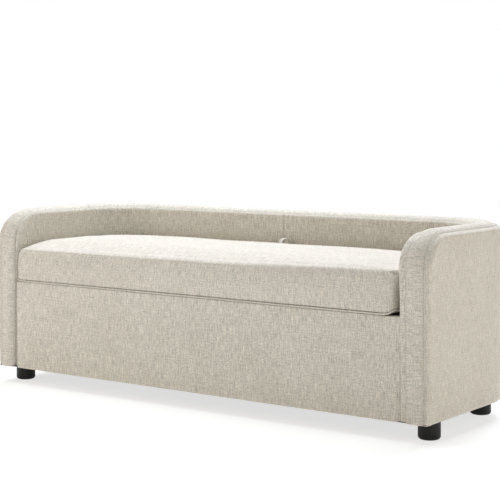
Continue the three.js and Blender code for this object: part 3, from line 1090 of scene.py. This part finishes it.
def wear(co):
    """Softness of the seat cover after use: slow unevenness, and short creases at the front right corner."""
    co = co.copy()
    height = co[:, 2] - seat_low.z
    front = co[:, 1] - seat_low.y
    right = seat_high.x - co[:, 0]
    on_top = smoothstep((height - 90 * MM) / (20 * MM))
    co[:, 2] += on_top * 0.9 * MM * waves(co * np.array([1, 1, 0]), 0.30, 5)
    on_front = soft_fade(front, 12 * MM) * smoothstep(height / (15 * MM))
    co[:, 1] += on_front * 0.7 * MM * waves(co * np.array([1, 0, 1.3]), 0.16, 8)
    near_corner = np.exp(-((right / (30 * MM)) ** 2)) * soft_fade(front, 40 * MM)
    below_seam = (SEAT_CENTRE_SEAM - co[:, 2]) / MM
    fold = np.exp(-(((below_seam - 12) / 2.2) ** 2)) - 0.6 * np.exp(-(((below_seam - 7.5) / 2.5) ** 2))
    co[:, 1] += near_corner * 1.5 * MM * fold
    return co


def make_cushion():
    """The seat cushion: sewn a little too small, and blown up by its padding."""
    shrink = 3 * MM
    cushion, seam, beside = cushion_mesh("seat_cushion_cloth", shrink, LINEN_SEAT)
    seam, beside = nearest_points(cushion, seam), nearest_points(cushion, beside)
    inflate(cushion, pinned=soft_fade(coordinates(cushion)[:, 2] - seat_low.z - 1 * MM, 6 * MM))
    push_along_normals(cushion, seam, -0.8 * MM)
    push_along_normals(cushion, beside, 0.2 * MM)
    subdivide(cushion)
    set_coordinates(cushion, settle(slope_front(wear(coordinates(cushion)))))
    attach(cushion, "seat")
    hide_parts("seat_cover", "seat_foam")
    return cushion


def make_welt():
    """The piped edge strip round the foot of the seat, with its flange turned under the board."""
    radius = 2.4 * MM
    middle = LID_REST + 2.7 * MM
    ring = ring_of(radius + 0.2 * MM)
    outward = unit(ring - ring_of(radius * 2 + 6 * MM))
    closed = np.vstack([ring, ring[:1]])
    ways = np.vstack([outward, outward[:1]])
    run = running_length(closed)
    cloth = Cloth()

    def strip(profile, flip):
        """Rows of points right round the seat: (distance out, height, place on the cloth) for each."""
        rows, places = [], []
        for out, height, place in profile:
            rows.append(np.column_stack([closed + ways * out, np.full(len(closed), height)]))
            places.append(np.column_stack([run, np.full(len(run), place)]))
        cloth.grid(np.array(rows), np.array(places), flip=flip)

    turns = np.linspace(0, 2 * math.pi, 13)
    strip([(radius * math.cos(a), middle + radius * math.sin(a), radius * a) for a in turns], flip=True)
    flange = [(0.5, 0.6), (-8, 0.5), (-24, 0.4), (-24, -0.2), (-8, -0.3), (0.5, -0.45)]
    strip([(out * MM, LID_REST + (1.0 + up) * MM, out * MM) for out, up in flange], flip=False)
    welt = cloth.make("seat_edge_welt", LINEN_SEAT)
    set_coordinates(welt, settle(coordinates(welt)))
    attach(welt, "seat")
    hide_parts("seat_edge_strip")
    return welt


def make_pull_loop():
    """A strap arch at the seat's rear edge, twisted so that its left end lies in front of its right end."""
    low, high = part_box("pull_loop")
    half, depth = 18 * MM, 20 * MM
    thick = 2.2 * MM
    base, top = low.z, high.z + 1 * MM
    twist = math.radians(60)
    centre = np.array([18 * MM, high.y - 16 * MM, 0])
    crown = half * 0.85
    rise = top - base - crown
    reach = half - thick / 2
    line = [(-reach, base + z) for z in np.linspace(0, rise, 6)[:-1]]
    for a in np.linspace(math.pi, 0, 17):
        line.append((reach * math.cos(a), base + rise + (crown - thick / 2) * math.sin(a)))
    line += [(reach, base + z) for z in np.linspace(rise, 0, 6)[1:]]
    line = np.array(line)
    run = running_length(line)
    way = unit(np.gradient(line, axis=0))
    side = np.column_stack([-way[:, 1], way[:, 0]])
    # the strap's section: a flat bar with its four corners cut, y across and t through it
    edge = 0.7 * MM
    y1, t1 = depth / 2, thick / 2
    left_edge = [(edge - y1, -t1), (-y1, edge - t1), (-y1, t1 - edge), (edge - y1, t1)]
    face = [(y, t1) for y in np.linspace(edge - y1, y1 - edge, 7)[1:-1]]
    section = left_edge + face + [(-y, t) for y, t in reversed(left_edge)]
    rows, places = [], []
    for y, t in section + section[:1]:
        spot = line + side * t
        turned_x = spot[:, 0] * math.cos(twist) - y * math.sin(twist)
        turned_y = spot[:, 0] * math.sin(twist) + y * math.cos(twist)
        rows.append(np.column_stack([turned_x, turned_y, spot[:, 1]]) + centre)
        places.append(np.column_stack([np.full(len(line), y + t), run]))
    cloth = Cloth()
    cloth.grid(np.array(rows), np.array(places), flip=True)
    loop = cloth.make("pull_loop_strap", WEBBING)
    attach(loop, "seat")
    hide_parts("pull_loop")
    return loop


# ---------------------------------------------------------------- feet
def make_foot(node):
    """A turned foot: a round block with a rounded lower edge and a fine rounded upper one."""
    low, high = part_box(node)
    cx, cy = (low.x + high.x) / 2, (low.y + high.y) / 2
    radius = (high.x - low.x) / 2
    big, small = 9 * MM, 1.2 * MM
    profile = [(0.0, low.z), (radius * 0.4, low.z), (radius - big - 2 * MM, low.z)]
    for t in np.linspace(0, math.pi / 2, 9):
        profile.append((radius - big + big * math.sin(t), low.z + big - big * math.cos(t)))
    for z in np.linspace(low.z + big + 3 * MM, high.z - small - 2 * MM, 6):
        profile.append((radius, z))
    for t in np.linspace(0, math.pi / 2, 5):
        profile.append((radius - small + small * math.cos(t), high.z - small + small * math.sin(t)))
    profile += [(radius * 0.5, high.z), (0.0, high.z)]
    sides = 96
    angles = np.linspace(0, 2 * math.pi, sides + 1)
    rows, places = [], []
    for r, z in profile:
        turned = arc_line((cx, cy), r, 0, 2 * math.pi, sides)
        rows.append(np.column_stack([turned, np.full(sides + 1, z)]))
        places.append(np.column_stack([angles * radius, np.full(sides + 1, z + r)]))
    cloth = Cloth()
    cloth.grid(np.array(rows), np.array(places))
    foot = cloth.make(node + "_turned", FEET_BLACK)
    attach(foot, "bench")
    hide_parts(node)
    return foot


# ---------------------------------------------------------------- what the frame already has right
def dress_frame():
    """Materials for the CAD nodes that stay: boards, rails, posts, supports, lining and fixings."""
    ply = [wood("plywood_%d" % k, (0.60, 0.45, 0.28), k) for k in range(3)]
    pine = [wood("softwood_%d" % k, (0.68, 0.52, 0.34), k, 0.8) for k in range(3)]
    # painted shade: the seat board and the front board are coloured near-black so that the gaps round them,
    # such as the one under the lifted seat corner, read as deep shadow
    painted_shade_board = wood("board_painted_shade", (0.022, 0.018, 0.015), 0)
    lining = nonwoven("lining_grey", (0.10, 0.10, 0.105))
    under = nonwoven("underside_black", (0.035, 0.035, 0.037))
    steel = zinc_steel()
    for name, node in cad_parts.items():
        if node.hide_render:
            continue
        low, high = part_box(name)
        axis = int(np.argmax(np.array(high - low)))
        if "stud" in name:
            material = steel
        elif name == "storage_lining":
            material = lining
        elif name in ("dust_cover", "seat_underside"):
            material = under
        # painted shade: these two boards are near-black so the gaps beside them look dark
        elif name in ("seat_board", "front_board"):
            material = painted_shade_board
        elif "board" in name or "corner" in name or name == "storage_floor":
            material = ply[axis]
        else:
            material = pine[axis]
        node.data.materials.clear()
        node.data.materials.append(material)


# ---------------------------------------------------------------- camera, light and floor
CAMERA_PLACE = (2.4675, -3.3431, 0.8037)
CAMERA_DOWN = math.radians(1.5)
CAMERA_TURN = math.radians(36.275)
CAMERA_LENS = 101.16
CAMERA_SHIFT = -0.1779
FLOOR_SIZE = 56.0
VEIL_LEVEL = 0.3 * MM
WHITE = (1.0, 1.0, 1.0)
WARM = (1.0, 0.87, 0.70)
CREAM = (1.0, 0.94, 0.76)
COOL = (0.88, 0.95, 1.0)
SKY = (0.85, 0.86, 1.0)


def make_camera():
    """A long lens at the front right, a little above the bench and looking slightly down."""
    camera = bpy.data.cameras.new("camera")
    camera.sensor_width = 36
    camera.lens = CAMERA_LENS
    camera.shift_y = CAMERA_SHIFT
    camera.clip_end = 60
    obj = new_object("camera", camera)
    obj.location = CAMERA_PLACE
    obj.rotation_euler = (math.pi / 2 - CAMERA_DOWN, 0, CAMERA_TURN)
    bpy.context.scene.camera = obj
    return obj


def new_light(name, kind, power, color, toward):
    """A light that shines toward a direction."""
    light = bpy.data.lights.new(name, kind)
    light.energy = power
    light.color = color
    obj = new_object(name, light)
    obj.rotation_euler = toward.to_track_quat("-Z", "Y").to_euler()
    return obj


def area_light(name, place, aim, size, power, color):
    """A rectangular lamp at a place, aimed at a point."""
    obj = new_light(name, "AREA", power, color, Vector(aim) - Vector(place))
    obj.data.shape = "RECTANGLE"
    obj.data.size, obj.data.size_y = size
    obj.location = place
    return obj


def sun_light(name, source, angle, power, color):
    """Even light from one side of the sky: source is the way towards it, angle how wide it is."""
    obj = new_light(name, "SUN", power, color, -Vector(source))
    obj.data.angle = math.radians(angle)
    return obj


def only_for_camera(obj):
    """The camera sees the object; light passes through it and takes nothing from it."""
    for ray in ("diffuse", "glossy", "transmission", "volume_scatter", "shadow"):
        setattr(obj, "visible_" + ray, False)


def make_backdrop(radius=28.0, rows=12, sides=48):
    """A white dome round the scene, which the camera sees and the light passes through."""
    points = []
    for t in np.linspace(-math.pi / 2, math.pi / 2, rows + 1):
        ring = arc_line((0, 0), radius * math.cos(t), 0, 2 * math.pi, sides)
        points.append(np.column_stack([ring, np.full(sides + 1, radius * math.sin(t))]))
    points = np.array(points)
    cloth = Cloth()
    cloth.grid(points, points[..., :2])
    only_for_camera(cloth.make("backdrop_dome", white_glow()))


def floor_sheet(name, material, level=0.0):
    """A flat square sheet, far wider than the view."""
    cloth = Cloth()
    marks = np.linspace(-FLOOR_SIZE / 2, FLOOR_SIZE / 2, 9)
    x, y = np.meshgrid(marks, marks)
    cloth.grid(np.dstack([x, y, np.full_like(x, level)]), np.dstack([x, y]))
    return cloth.make(name, material)


def make_studio():
    """Floor, haze, backdrop, a faint even world light, and four lights."""
    floor_sheet("studio_floor", studio_floor())
    only_for_camera(floor_sheet("floor_veil", white_veil(), VEIL_LEVEL))
    make_backdrop()
    world = bpy.data.worlds.new("studio")
    world.use_nodes = True
    background = world.node_tree.nodes["Background"]
    background.inputs["Color"].default_value = (*WHITE, 1)
    background.inputs["Strength"].default_value = 0.02
    bpy.context.scene.world = world
    sun_light("sky_behind", source=(-0.3, 1, 1.2), angle=40, power=2.66, color=SKY)
    middle = 0.3
    area_light("key_left", (-2.3, -2.4, 1.5), (-0.3, 0, middle), size=(1.6, 1.6), power=25, color=WARM)
    area_light("fill_right", (3.0, -0.4, 1.3), (0.4, 0, middle), size=(1.8, 1.8), power=19, color=CREAM)
    area_light("overhead", (-0.3, 0.1, 2.6), (0, 0, middle), size=(3.0, 2.0), power=70, color=COOL)
    bpy.context.scene.view_settings.view_transform = "Standard"


make_camera()
make_studio()
make_wall()
make_front_panel()
make_cushion()
make_welt()
make_pull_loop()
for foot in ("front_left_foot", "front_right_foot", "rear_left_foot", "rear_right_foot"):
    make_foot(foot)
dress_frame()
